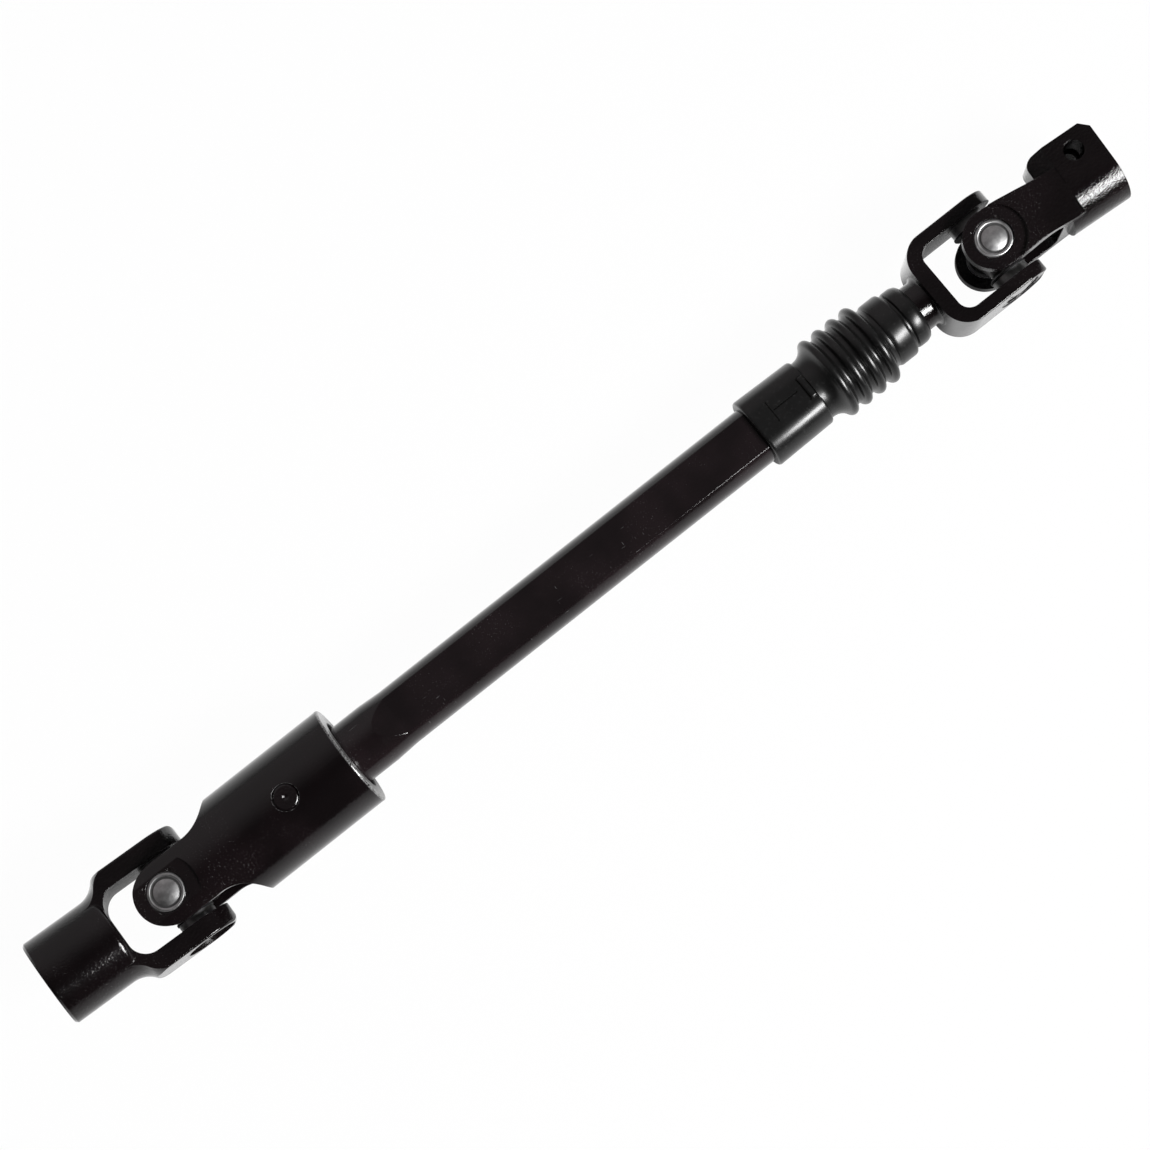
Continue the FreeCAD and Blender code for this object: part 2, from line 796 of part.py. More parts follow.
def fold_radii():
    """Radii of the boot's hollow and round arcs, from the pitch and depth of a fold."""
    half_pitch = boot_fold_pitch / 2
    depth = boot_peak_radius - boot_valley_radius
    radii = (half_pitch ** 2 + depth ** 2) / (2 * depth)
    peak = boot_peak_share * radii
    return radii - peak, peak


def flank(valley, peak, inset):
    """The side of a fold, from its valley to its peak, moved in by inset."""
    peak_arc = fold_radii()[1]
    span = peak[0] - valley[0]
    rise = peak[1] - valley[1]
    valley_arc = (span ** 2 + rise ** 2) / (2 * rise) - peak_arc
    low = (valley[0], valley[1] - inset)
    high = (peak[0], peak[1] - inset)
    return level_arcs(low, high, valley_arc + inset, peak_arc - inset)


def boot_folds(inset):
    """The boot's wavy outline, from its neck to the valley at its sleeve."""
    neck = (boot_start + boot_collar_length + boot_neck_length, boot_neck_radius)
    edges = flank(neck, (boot_first_peak, boot_peak_radius), inset)
    for number in range(boot_fold_count - 1):
        peak = (boot_first_peak + number * boot_fold_pitch, boot_peak_radius)
        valley = (peak[0] + boot_fold_pitch / 2, boot_valley_radius)
        next_peak = (peak[0] + boot_fold_pitch, boot_peak_radius)
        edges += flank(valley, peak, inset)
        edges += flank(valley, next_peak, inset)
    last_peak = (boot_first_peak + (boot_fold_count - 1) * boot_fold_pitch, boot_peak_radius)
    edges += flank((boot_sleeve_valley, boot_sleeve_valley_radius), last_peak, inset)
    return edges


def make_boot():
    """The rubber bellows, moulded to the double-D tube at one end and round at the other."""
    collar_end = boot_start + boot_collar_length
    neck_x = collar_end + boot_neck_length
    step = boot_sleeve_radius - boot_sleeve_valley_radius
    groove_start = boot_sleeve_end
    groove_end = boot_sleeve_end + boot_groove_width
    edge = boot_collar_edge
    outer = boot_folds(0)
    outer += path(
        [
            (neck_x, boot_neck_radius),
            (collar_end + edge, boot_neck_radius),
            (collar_end, boot_neck_radius + edge),
            (collar_end - edge / 2, boot_collar_radius - boot_collar_taper),
            (boot_start + edge, boot_collar_radius),
            (boot_start, boot_collar_radius - edge),
            (boot_start, 0),
            (boot_end, 0),
            (boot_end, boot_bead_radius - edge),
            (boot_bead_end, boot_bead_radius),
            (groove_end + edge / 2, boot_bead_radius),
            (groove_end, boot_groove_radius),
            (groove_start, boot_groove_radius),
            (groove_start, boot_sleeve_radius - edge),
            (groove_start - edge, boot_sleeve_radius),
            (boot_sleeve_valley + step, boot_sleeve_radius),
            (boot_sleeve_valley, boot_sleeve_valley_radius),
        ]
    )
    inner = boot_folds(boot_wall)
    inner += path(
        [
            (boot_sleeve_valley, boot_sleeve_valley_radius - boot_wall),
            (boot_sleeve_valley, 0),
            (tube_end, 0),
            (tube_end, boot_neck_radius - boot_wall),
            (neck_x, boot_neck_radius - boot_wall),
        ]
    )
    stem_hole = cylinder(fork_stem_radius + boot_stem_play, boot_sleeve_valley - PAST, boot_end + PAST)
    boot = turned(outer).cut(turned(inner)).cut(stem_hole)
    side = boot_collar_radius + PAST
    for z_span in ((boot_collar_flat, side), (-side, -boot_collar_flat)):
        boot = boot.cut(block((boot_start - PAST, collar_end), (-side, side), z_span))
    return boot.cut(double_d(tube_radius, tube_flat, boot_start - PAST, tube_end))


def bend_lower_cross(shape):
    shape.rotate(ORIGIN, Z_AXIS, lower_swing)
    return shape


def bend_lower_yoke(shape):
    shape.rotate(ORIGIN, Y_AXIS, lower_tilt)
    return bend_lower_cross(shape)


def at_upper_centre(shape):
    shape.translate(X_AXIS * upper_centre)
    return shape


def bend_upper_cross(shape):
    shape.rotate(ORIGIN, Y_AXIS, upper_tilt)
    return at_upper_centre(shape)


def bend_clamp_yoke(shape):
    shape.rotate(ORIGIN, Z_AXIS, upper_swing)
    return bend_upper_cross(shape)


def straight(shape):
    return shape


def bearings(joint, sides):
    """The cup, needles and seal on each named side, bent with the yoke that holds them."""
    pieces = {}
    for side, (direction, bend) in sides.items():
        pieces[f"{joint}_cup_{side}"] = bend(aimed(make_cup(), direction))
        pieces[f"{joint}_needles_{side}"] = bend(aimed(make_needles(), direction))
        pieces[f"{joint}_seal_{side}"] = bend(aimed(make_seal(), direction))
    return pieces


def make_parts():
    """Every piece by name, in the shaft's frame."""
    pieces = {
        "lower_yoke": bend_lower_yoke(make_lower_yoke()),
        "lower_cross": bend_lower_cross(make_cross()),
        "coupling_yoke": make_coupling_yoke(),
        "coupling_pin": make_coupling_pin(),
        "isolator_bush": make_isolator_bush(),
        "outer_tube": make_outer_tube(),
        "slide_liner": make_slide_liner(),
        "boot": make_boot(),
        "inner_shaft": make_inner_shaft(),
        "upper_fork": at_upper_centre(make_upper_fork()),
        "upper_cross": bend_upper_cross(make_cross()),
        "clamp_yoke": bend_clamp_yoke(make_clamp_yoke()),
    }
    lower_sides = {
        "top": (Z_AXIS, straight),
        "bottom": (-Z_AXIS, straight),
        "left": (Y_AXIS, bend_lower_yoke),
        "right": (-Y_AXIS, bend_lower_yoke),
    }
    upper_sides = {
        "top": (Z_AXIS, bend_clamp_yoke),
        "bottom": (-Z_AXIS, bend_clamp_yoke),
        "left": (Y_AXIS, at_upper_centre),
        "right": (-Y_AXIS, at_upper_centre),
    }
    pieces.update(bearings("lower", lower_sides))
    pieces.update(bearings("upper", upper_sides))
    bore_start = bend_lower_yoke(Part.Vertex(lower_mouth_chamfer - lower_reach, 0, 0)).Point
    for shape in pieces.values():
        shape.translate(-bore_start)
    return pieces


os.makedirs("parts", exist_ok=True)
for name, shape in make_parts().items():
    shape.exportStep(f"parts/{name}.step")
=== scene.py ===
import json
import math

import bpy
from mathutils import Matrix, Vector


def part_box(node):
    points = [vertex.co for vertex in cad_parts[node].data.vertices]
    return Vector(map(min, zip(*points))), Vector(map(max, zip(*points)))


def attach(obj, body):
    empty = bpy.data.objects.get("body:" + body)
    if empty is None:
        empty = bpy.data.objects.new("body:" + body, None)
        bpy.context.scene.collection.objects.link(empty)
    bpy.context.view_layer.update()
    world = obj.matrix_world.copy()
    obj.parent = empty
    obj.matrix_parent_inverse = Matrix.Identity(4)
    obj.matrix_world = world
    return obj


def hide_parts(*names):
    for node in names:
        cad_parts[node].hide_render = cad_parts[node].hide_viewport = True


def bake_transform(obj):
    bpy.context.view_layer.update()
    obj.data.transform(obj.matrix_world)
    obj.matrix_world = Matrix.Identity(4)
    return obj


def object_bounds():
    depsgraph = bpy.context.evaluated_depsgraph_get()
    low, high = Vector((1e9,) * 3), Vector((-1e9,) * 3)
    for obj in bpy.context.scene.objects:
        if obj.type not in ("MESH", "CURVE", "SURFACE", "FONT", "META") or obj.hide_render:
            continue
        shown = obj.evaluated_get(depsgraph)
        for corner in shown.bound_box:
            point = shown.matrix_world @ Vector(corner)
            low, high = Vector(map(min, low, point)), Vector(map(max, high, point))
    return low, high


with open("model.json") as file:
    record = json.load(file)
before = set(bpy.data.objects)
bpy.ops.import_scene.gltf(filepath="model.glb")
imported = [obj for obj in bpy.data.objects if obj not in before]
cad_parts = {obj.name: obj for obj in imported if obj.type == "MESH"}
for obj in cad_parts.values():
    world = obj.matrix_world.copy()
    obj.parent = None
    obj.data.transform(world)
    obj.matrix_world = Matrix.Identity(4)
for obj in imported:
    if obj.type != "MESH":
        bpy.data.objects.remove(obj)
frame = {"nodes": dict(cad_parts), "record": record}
cad_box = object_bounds()
MM = 0.001

joints = {joint["name"]: joint for joint in frame["record"]["behaviour"]["joints"]}
mounts = {mount["name"]: mount for mount in frame["record"]["mounts"]}
LOWER_CENTRE = Vector(joints["lower_joint_tilt"]["pos_m"])

# The coupling, in mm along X from the lower joint's centre and out from an axis
PIN_ALONG = 59.0
PIN_RADIUS = 5.5
COUPLING_MOUTH = 86.0
COUPLING_BORE = 15.4

# The boot, in mm along X from the lower joint's centre and out from the tube's axis
COLLAR_START = 294.0
COLLAR_END = 322.4
COLLAR_RADIUS = 15.75
COLLAR_FLAT = 13.2
COLLAR_CORNER = 9.0
COLLAR_END_SHRINK = 0.963
TUBE_RADIUS = 12.7
TUBE_FLAT = 9.5
TUBE_END = 316.0
TUBE_CLEARANCE = 0.02
NECK_START = COLLAR_END - 0.6
NECK_END = 323.6
NECK_RADIUS = 13.7
FIRST_PEAK = 331.4
FOLD_PITCH = 7.1
FOLD_COUNT = 4
PEAK_RADIUS = 18.45
VALLEY_RADIUS = 15.9
LAST_VALLEY_RADIUS = 13.9
PEAK_SHARE = 0.55
ARC_STEPS = 6
SLEEVE_START = 357.8
SLEEVE_RADIUS = 14.75
STEM_RADIUS = 10.55
WALL = 1.4

# The depth that a height of 1 stands for in the enamel's relief, and how its edges are rounded
ENAMEL_DEPTH = 0.06 * MM
ENAMEL_EDGE = 0.5 * MM


# ---------------------------------------------------------------------------
# Finishes
# ---------------------------------------------------------------------------


class Wire:
    """An output of a shader node. Arithmetic on it adds Math nodes to its finish."""

    def __init__(self, finish, socket):
        self.finish = finish
        self.socket = socket

    def math(self, operation, *others):
        inputs = dict(enumerate((self, *others)))
        return self.finish.node("ShaderNodeMath", {"operation": operation}, inputs)

    def __add__(self, other):
        return self.math("ADD", other)

    __radd__ = __add__

    def __mul__(self, other):
        return self.math("MULTIPLY", other)

    __rmul__ = __mul__

    def __rsub__(self, other):
        return self.finish.node("ShaderNodeMath", {"operation": "SUBTRACT"}, {0: other, 1: self})

    def __pow__(self, other):
        return self.math("POWER", other)

    def ramp(self, low, high):
        """0 below low, 1 above high, smooth between. High may be the smaller one."""
        settings = {"interpolation_type": "SMOOTHSTEP", "clamp": True}
        first, last = (low, high) if low < high else (high, low)
        value = self.finish.node("ShaderNodeMapRange", settings, {0: self, 1: first, 2: last})
        return value if low < high else 1 - value

    def ramp_mm(self, low, high):
        return self.ramp(low * MM, high * MM)


class Finish:
    """A procedural material that reads Object coordinates."""

    def __init__(self, name):
        self.material = bpy.data.materials.new(name)
        self.material.use_nodes = True
        self.nodes = self.material.node_tree.nodes
        self.links = self.material.node_tree.links
        self.shader = self.nodes["Principled BSDF"]
        self.place = self.node("ShaderNodeTexCoord", {}, {}, "Object")

    def node(self, kind, settings, inputs, output=0):
        made = self.nodes.new(kind)
        for name, value in settings.items():
            setattr(made, name, value)
        for name, value in inputs.items():
            self.feed(made.inputs[name], value)
        return Wire(self, made.outputs[output])

    def feed(self, socket, value):
        if isinstance(value, Wire):
            self.links.new(value.socket, socket)
        else:
            socket.default_value = value

    def axis(self, centre=(0, 0, 0)):
        """X, Y and Z measured from a centre."""
        inputs = {"Vector": self.place, "Location": centre}
        moved = self.node("ShaderNodeMapping", {"vector_type": "TEXTURE"}, inputs)
        parts = self.nodes.new("ShaderNodeSeparateXYZ")
        self.links.new(moved.socket, parts.inputs[0])
        return [Wire(self, output) for output in parts.outputs]

    def stretched(self, factors, turn=(0, 0, 0)):
        """Object coordinates times factors, turned by Euler angles."""
        inputs = {"Vector": self.place, "Scale": factors, "Rotation": turn}
        return self.node("ShaderNodeMapping", {"vector_type": "POINT"}, inputs)

    def noise(self, scale, detail=2.0, rough=0.5, place=None):
        inputs = {"Vector": place or self.place, "Scale": scale, "Detail": detail}
        inputs["Roughness"] = rough
        return self.node("ShaderNodeTexNoise", {}, inputs)

    def mixed(self, mask, low, high):
        """A colour that goes from low to high as the mask goes from 0 to 1."""
        inputs = {0: mask, 6: low, 7: high}
        return self.node("ShaderNodeMix", {"data_type": "RGBA"}, inputs, 2)

    def relief(self, height, depth, edge=0.0):
        """Bumps as high as depth, in metres, where the height is 1, over edges rounded by edge."""
        inputs = {"Height": height, "Strength": 1.0, "Distance": depth}
        if edge:
            inputs["Normal"] = self.node("ShaderNodeBevel", {"samples": 4}, {"Radius": edge})
        self.set("Normal", self.node("ShaderNodeBump", {}, inputs))

    def set(self, name, value):
        self.feed(self.shader.inputs[name], value)

    def already(self, name):
        """What is linked to an input of the shader so far."""
        return Wire(self, self.shader.inputs[name].links[0].from_socket)


def grey(value, warmth=0.0):
    return (value * (1 + warmth), value, value * (1 + warmth / 4), 1.0)


def gloss_paint(name, cast, tone, dust=0.5):
    """Black enamel. Cast says how rough the metal under it is, dust how light its specks are."""
    paint = Finish(name)
    orange_peel = paint.noise(850.0, 1.0)
    pits = paint.noise(1250.0, 2.0, 0.6)
    lumps = paint.noise(230.0, 2.0)
    clouds = paint.noise(38.0, 3.0)
    specks = paint.noise(2600.0, 1.0).ramp(0.715 - 0.04 * cast, 0.76) * clouds.ramp(0.45, 0.65)
    skin = orange_peel * (0.35 + cast) + pits * cast * 3.0 + lumps * cast * 2.4
    paint.relief(skin, ENAMEL_DEPTH, ENAMEL_EDGE)
    tint = paint.mixed(clouds.ramp(0.35, 0.7), grey(tone * 0.75, 0.4), grey(tone * 1.3, 0.5))
    paint.set("Base Color", paint.mixed(specks * dust, tint, grey(0.16)))
    paint.set("Roughness", 0.08 + 0.02 * cast + clouds * 0.06 + specks * 0.3)
    paint.set("Specular IOR Level", 0.65)
    return paint


def plain_paint(name, cast, tone):
    return gloss_paint(name, cast, tone).material


def off_pin_axis(paint):
    """How far a point lies from the axis of the coupling's pin."""
    along, across, _ = paint.axis(LOWER_CENTRE + Vector((PIN_ALONG, 0, 0)) * MM)
    return (along * along + across * across) ** 0.5


def pin_paint():
    """Rougher enamel on the coupling's pin, rounded over at its edge."""
    paint = gloss_paint("pin_enamel", cast=1.0, tone=0.006)
    out = off_pin_axis(paint)
    pits = paint.noise(1250.0, 2.0, 0.6)
    rounding = out.ramp_mm(PIN_RADIUS - 0.35, PIN_RADIUS - 1.15)
    paint.set("Roughness", 0.25)
    paint.relief(rounding * 5.5 + pits * 3.0, ENAMEL_DEPTH)
    return paint.material


def coupling_paint():
    """Smooth enamel, worn through to the steel round the mouth that the tube comes out of."""
    paint = gloss_paint("coupling_enamel", cast=0.12, tone=0.0048, dust=0.9)
    along, across, up = paint.axis(LOWER_CENTRE)
    out = (across * across + up * up) ** 0.5
    chips = paint.noise(900.0, 4.0, 0.7)
    end_face = along.ramp_mm(COUPLING_MOUTH, COUPLING_MOUTH + 0.7)
    mouth = end_face * out.ramp_mm(COUPLING_BORE, COUPLING_BORE + 0.5)
    from_pin = off_pin_axis(paint)
    pin_edge = from_pin.ramp_mm(PIN_RADIUS + 0.25, PIN_RADIUS) * chips.ramp(0.42, 0.6) * 0.6
    bare = (mouth * chips.ramp(0.36, 0.52)).math("MAXIMUM", pin_edge)
    steel = paint.mixed(paint.noise(1800.0, 3.0).ramp(0.3, 0.7), grey(0.2), grey(0.5))
    paint.set("Base Color", paint.mixed(bare, paint.already("Base Color"), steel))
    paint.set("Metallic", bare * 0.85)
    paint.set("Roughness", paint.already("Roughness") * (1 - bare) + bare * 0.42)
    return paint.material


def tube_paint():
    """Enamel on the drawn tube, with a few scratches from handling."""
    paint = gloss_paint("tube_enamel", cast=0.05, tone=0.0075, dust=0.6)
    slanted = paint.stretched((170.0, 1500.0, 1500.0), (0, 0, 0.7))
    crossing = paint.stretched((1800.0, 260.0, 500.0), (0, 0, 0.35))
    long_marks = paint.noise(1.0, 0.0, 0.5, slanted)
    cross_marks = paint.noise(1.0, 0.0, 0.5, crossing)
    sparse = paint.noise(55.0, 1.0).ramp(0.5, 0.6)
    scratches = (long_marks.ramp(0.83, 0.86) + cross_marks.ramp(0.83, 0.86)) * sparse
    scratched = paint.mixed(scratches * 0.7, paint.already("Base Color"), grey(0.12))
    paint.set("Base Color", scratched)
    return paint.material


def cup_steel(name, centre, upright):
    """Turned steel of a bearing cup, with rings round its own axis and painted shade in its groove.
    """
    steel = Finish(name)
    along, across, up = steel.axis(centre)
    side = across if upright else up
    out = (along * along + side * side) ** 0.5
    turned = {"W": out * 9000.0, "Detail": 2.0}
    rings = steel.node("ShaderNodeTexNoise", {"noise_dimensions": "1D"}, turned)
    stains = steel.noise(420.0, 3.0, 0.6)
    # Painted shade: the base colour is taken towards dark grey in the ring of the groove, a recess
    groove = out.ramp_mm(5.0, 5.3) * out.ramp_mm(6.25, 6.0)
    lip = out.ramp_mm(6.3, 6.75) * out.ramp_mm(7.3, 6.85)
    tone = steel.mixed(stains.ramp(0.3, 0.75), grey(0.52), grey(0.72))
    steel.set("Base Color", steel.mixed(groove * 0.8, tone, grey(0.14)))
    steel.set("Metallic", 1.0)
    steel.set("Roughness", 0.31 + 0.12 * stains + 0.08 * rings)
    steel.relief(rings * 0.5 + stains + lip * 10.0, 0.012 * MM)
    return steel.material


def ground_steel():
    """Steel with fine lines along X, for the crosses, the needles and the inner shaft."""
    steel = Finish("ground_steel")
    lines = steel.noise(1.0, 2.0, 0.5, steel.stretched((3200.0, 260.0, 260.0)))
    film = steel.noise(160.0, 3.0)
    steel.set("Base Color", steel.mixed(film.ramp(0.3, 0.7), grey(0.3), grey(0.46)))
    steel.set("Metallic", 1.0)
    steel.set("Roughness", 0.26 + 0.16 * lines)
    steel.relief(lines, 0.008 * MM)
    return steel.material


def rubber(name, tone, roughness, grain):
    """Moulded rubber with faint flow marks and a little dust. Grain is how deep it is, in metres."""
    stuff = Finish(name)
    fine = stuff.noise(2400.0, 3.0, 0.6)
    flow = stuff.noise(90.0, 3.0)
    dust = stuff.noise(700.0, 3.0, 0.7).ramp(0.56, 0.74)
    tint = stuff.mixed(flow.ramp(0.3, 0.7), grey(tone * 0.85), grey(tone * 1.2))
    stuff.set("Base Color", stuff.mixed(dust * 0.12, tint, grey(0.12)))
    stuff.set("Roughness", roughness + 0.12 * flow + 0.08 * dust)
    stuff.set("Specular IOR Level", 0.62)
    stuff.relief(fine * 0.5 + flow, grain)
    return stuff.material


def liner_plastic():
    """Ivory plastic of the sleeve in the tube."""
    plastic = Finish("liner_plastic")
    flow = plastic.noise(60.0, 2.0, 0.5)
    ivory = plastic.mixed(flow.ramp(0.3, 0.7), (0.42, 0.4, 0.33, 1), (0.56, 0.54, 0.46, 1))
    plastic.set("Base Color", ivory)
    plastic.set("Roughness", 0.42 + 0.1 * flow)
    plastic.relief(plastic.noise(1900.0, 2.0), 0.01 * MM)
    return plastic.material


def paint_nodes():
    """Gives every carried-over piece its finish."""
    finishes = {
        "lower_yoke": plain_paint("lower_yoke_enamel", cast=0.4, tone=0.0033),
        "coupling_yoke": coupling_paint(),
        "coupling_pin": pin_paint(),
        "outer_tube": tube_paint(),
        "upper_fork": plain_paint("fork_enamel", cast=0.4, tone=0.0033),
        "clamp_yoke": plain_paint("clamp_yoke_enamel", cast=0.9, tone=0.0035),
        "isolator_bush": rubber("bush_rubber", tone=0.012, roughness=0.55, grain=0.02 * MM),
        "slide_liner": liner_plastic(),
    }
    steel = ground_steel()
    seal = rubber("seal_rubber", tone=0.016, roughness=0.5, grain=0.01 * MM)
    for name, node in frame["nodes"].items():
        if "_cup_" in name:
            low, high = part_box(name)
            upright = "top" in name or "bottom" in name
            finish = cup_steel(name + "_steel", (low + high) / 2, upright)
        elif "_seal_" in name:
            finish = seal
        else:
            finish = finishes.get(name, steel)
        node.data.materials.clear()
        node.data.materials.append(finish)


# ---------------------------------------------------------------------------
# Pieces
# ---------------------------------------------------------------------------


def deselect_all():
    if bpy.context.mode != "OBJECT":
        bpy.ops.object.mode_set(mode="OBJECT")
    bpy.ops.object.select_all(action="DESELECT")


def named(name, finish):
    piece = bpy.context.object
    piece.name = name
    piece.data.name = name
    piece.data.materials.clear()
    piece.data.materials.append(finish)
    return piece


def settle(piece, smooth_degrees=40.0):
    """Puts a finished piece's place into its mesh and smooths its round faces."""
    deselect_all()
    piece.select_set(True)
    bpy.context.view_layer.objects.active = piece
    bpy.ops.object.transform_apply(location=True, rotation=True, scale=True)
    bpy.ops.object.mode_set(mode="EDIT")
    bpy.ops.mesh.select_all(action="SELECT")
    bpy.ops.mesh.remove_doubles(threshold=0.005 * MM)
    bpy.ops.mesh.normals_make_consistent(inside=False)
    bpy.ops.object.mode_set(mode="OBJECT")
    bpy.ops.object.shade_smooth_by_angle(angle=math.radians(smooth_degrees))
    return piece


def grow_ring(station, centre, last):
    """Extrudes the selected ring from its last station, an x and a radius in mm, to another."""
    move = Vector((station[0] - last[0], 0, 0)) * MM
    bpy.ops.mesh.extrude_region_move(TRANSFORM_OT_translate={"value": move})
    share = station[1] / last[1]
    middle = centre + Vector((station[0] * MM, 0, 0))
    bpy.ops.transform.resize(value=(1, share, share), center_override=middle)


def ring_shell(name, centre, stations, sides, finish):
    """A closed shell round the X axis, through stations (x, radius) in mm and back to the first."""
    deselect_all()
    first = stations[0]
    bpy.ops.mesh.primitive_circle_add(
        vertices=sides,
        radius=first[1] * MM,
        location=centre + Vector((first[0] * MM, 0, 0)),
        rotation=(0, math.pi / 2, 0),
    )
    piece = named(name, finish)
    bpy.ops.object.transform_apply(location=True, rotation=True, scale=True)
    bpy.ops.object.mode_set(mode="EDIT")
    bpy.ops.mesh.select_all(action="SELECT")
    last = first
    for station in stations[1:]:
        grow_ring(station, centre, last)
        last = station
    grow_ring(first, centre, last)
    return settle(piece)


def level_arcs(low, high, low_radius, high_radius, steps):
    """Points from a valley to a peak, on a hollow arc and a round one that meet smoothly."""
    low_centre = Vector((low[0], low[1] + low_radius))
    high_centre = Vector((high[0], high[1] - high_radius))
    toward = high_centre - low_centre
    span = math.atan2(abs(toward.x), -toward.y)
    way = 1 if high[0] > low[0] else -1
    points = []
    for step in range(steps + 1):
        angle = span * step / steps
        x = low_centre.x + way * low_radius * math.sin(angle)
        points.append((x, low_centre.y - low_radius * math.cos(angle)))
    for step in range(1, steps + 1):
        angle = span * (steps - step) / steps
        x = high_centre.x - way * high_radius * math.sin(angle)
        points.append((x, high_centre.y + high_radius * math.cos(angle)))
    return points


def round_bar(name, finish, radius, start, end):
    """A closed cylinder on the tube's axis, in mm along X from the lower joint's centre."""
    deselect_all()
    bpy.ops.mesh.primitive_cylinder_add(
        vertices=144,
        radius=radius * MM,
        depth=(end - start) * MM,
        location=LOWER_CENTRE + Vector(((start + end) / 2 * MM, 0, 0)),
        rotation=(0, math.pi / 2, 0),
    )
    bar = named(name, finish)
    bpy.ops.object.transform_apply(location=True, rotation=True, scale=True)
    return bar


def double_d_bar(name, finish, radius, flat, start, end):
    """A round bar that is cut flat above and below its axis."""
    bar = round_bar(name, finish, radius, start, end)
    bpy.ops.object.mode_set(mode="EDIT")
    for side in (1, -1):
        bpy.ops.mesh.select_all(action="SELECT")
        level = LOWER_CENTRE + Vector((0, 0, side * flat * MM))
        bpy.ops.mesh.bisect(plane_co=level, plane_no=(0, 0, side), use_fill=True, clear_outer=True)
    bpy.ops.object.mode_set(mode="OBJECT")
    return bar


def use_modifier(piece, kind, **settings):
    """Adds a modifier with its settings and applies it."""
    bpy.context.view_layer.objects.active = piece
    modifier = piece.modifiers.new(kind.lower(), kind)
    for name, value in settings.items():
        setattr(modifier, name, value)
    bpy.ops.object.modifier_apply(modifier=modifier.name)


def soft_flats(place):
    """Where a point of the collar's round outline goes, so that flats meet it in soft corners."""
    reach = COLLAR_RADIUS - COLLAR_CORNER
    drop = COLLAR_FLAT - COLLAR_CORNER
    shift = math.sqrt(reach**2 - drop**2)
    tilt = math.atan2(abs(place.x), abs(place.y))
    if place.length < 1.0 or tilt > math.atan2(shift, drop):
        return place
    across = 0.0 if tilt < 0.001 else shift + COLLAR_CORNER * math.sin(tilt)
    up = drop + COLLAR_CORNER * math.cos(tilt)
    return Vector((math.copysign(across, place.x), math.copysign(up, place.y)))


def merge(piece, operation, other):
    """Adds another closed piece to a piece, or cuts it out."""
    use_modifier(piece, "BOOLEAN", operation=operation, object=other, solver="EXACT")
    bpy.data.objects.remove(other)


def make_collar(finish):
    """The end of the boot that grips the tube, flat where the tube is, with its moulded bar."""
    collar = round_bar("boot_collar", finish, COLLAR_RADIUS, COLLAR_START, COLLAR_END)
    for vertex in collar.data.vertices:
        place = vertex.co - LOWER_CENTRE
        shrink = COLLAR_END_SHRINK if place.x > (COLLAR_END - 0.1) * MM else 1.0
        vertex.co.yz = LOWER_CENTRE.yz + soft_flats(place.yz / MM) * shrink * MM
    use_modifier(
        collar,
        "BEVEL",
        width=1.3 * MM,
        segments=4,
        limit_method="ANGLE",
        angle_limit=math.radians(40),
    )
    radius = TUBE_RADIUS + TUBE_CLEARANCE
    flat = TUBE_FLAT + TUBE_CLEARANCE
    bore = double_d_bar("boot_bore", finish, radius, flat, COLLAR_START - 2, TUBE_END)
    merge(collar, "DIFFERENCE", bore)
    merge(collar, "UNION", moulded_bar(finish))
    for groove in moulded_lines(finish):
        merge(collar, "DIFFERENCE", groove)
    return settle(collar, 30.0)


def block(finish, centre, size, low, high):
    """A box over the collar's upper flat, from its middle, its size and its levels in mm."""
    deselect_all()
    place = LOWER_CENTRE + Vector((centre[0], centre[1], (low + high) / 2)) * MM
    bpy.ops.mesh.primitive_cube_add(size=1, location=place)
    box = named("moulded_block", finish)
    box.scale = (size[0] * MM, size[1] * MM, (high - low) * MM)
    bpy.ops.object.transform_apply(location=True, rotation=True, scale=True)
    return box


def moulded_bar(finish):
    """The low bar that is moulded on the collar's end."""
    bar = block(finish, (320.2, 0.9), (3.1, 10.4), 10.6, 13.6)
    use_modifier(bar, "BEVEL", width=1.0 * MM, segments=4, limit_method="NONE")
    return bar


def moulded_lines(finish):
    """The faint lines that the mould leaves in the flat."""
    return [
        block(finish, (303.0, 1.6), (0.75, 9.6), 12.5, 14.0),
        block(finish, (310.0, 1.8), (12.0, 0.75), 12.4, 14.0),
        block(finish, (318.3, 0.9), (0.75, 10.6), 12.3, 14.0),
    ]


def fold_line(inset):
    """Stations along the folds, from the neck to the sleeve, moved in by inset.

    A fold's peak and valley are two arcs. Their radii add up to the same sum wherever they meet.
    """
    half = FOLD_PITCH / 2
    depth = PEAK_RADIUS - VALLEY_RADIUS
    both = (half**2 + depth**2) / (2 * depth)
    peak_arc = PEAK_SHARE * both
    peaks = [FIRST_PEAK + number * FOLD_PITCH for number in range(FOLD_COUNT)]
    line = half_fold((NECK_END, NECK_RADIUS), (peaks[0], PEAK_RADIUS), peak_arc, inset)
    for near, far in zip(peaks[:-1], peaks[1:]):
        valley = ((near + far) / 2, VALLEY_RADIUS)
        line += half_fold(valley, (near, PEAK_RADIUS), peak_arc, inset)[::-1]
        line += half_fold(valley, (far, PEAK_RADIUS), peak_arc, inset)[1:]
    valley = (SLEEVE_START, LAST_VALLEY_RADIUS)
    line += half_fold(valley, (peaks[-1], PEAK_RADIUS), peak_arc, inset)[::-1]
    return line


def half_fold(valley, peak, peak_arc, inset):
    """Stations from a valley to a peak that is rounded by the radius peak_arc."""
    span = peak[0] - valley[0]
    rise = peak[1] - valley[1]
    valley_arc = (span**2 + rise**2) / (2 * rise) - peak_arc
    low = (valley[0], valley[1] - inset)
    high = (peak[0], peak[1] - inset)
    return level_arcs(low, high, valley_arc + inset, peak_arc - inset, ARC_STEPS)


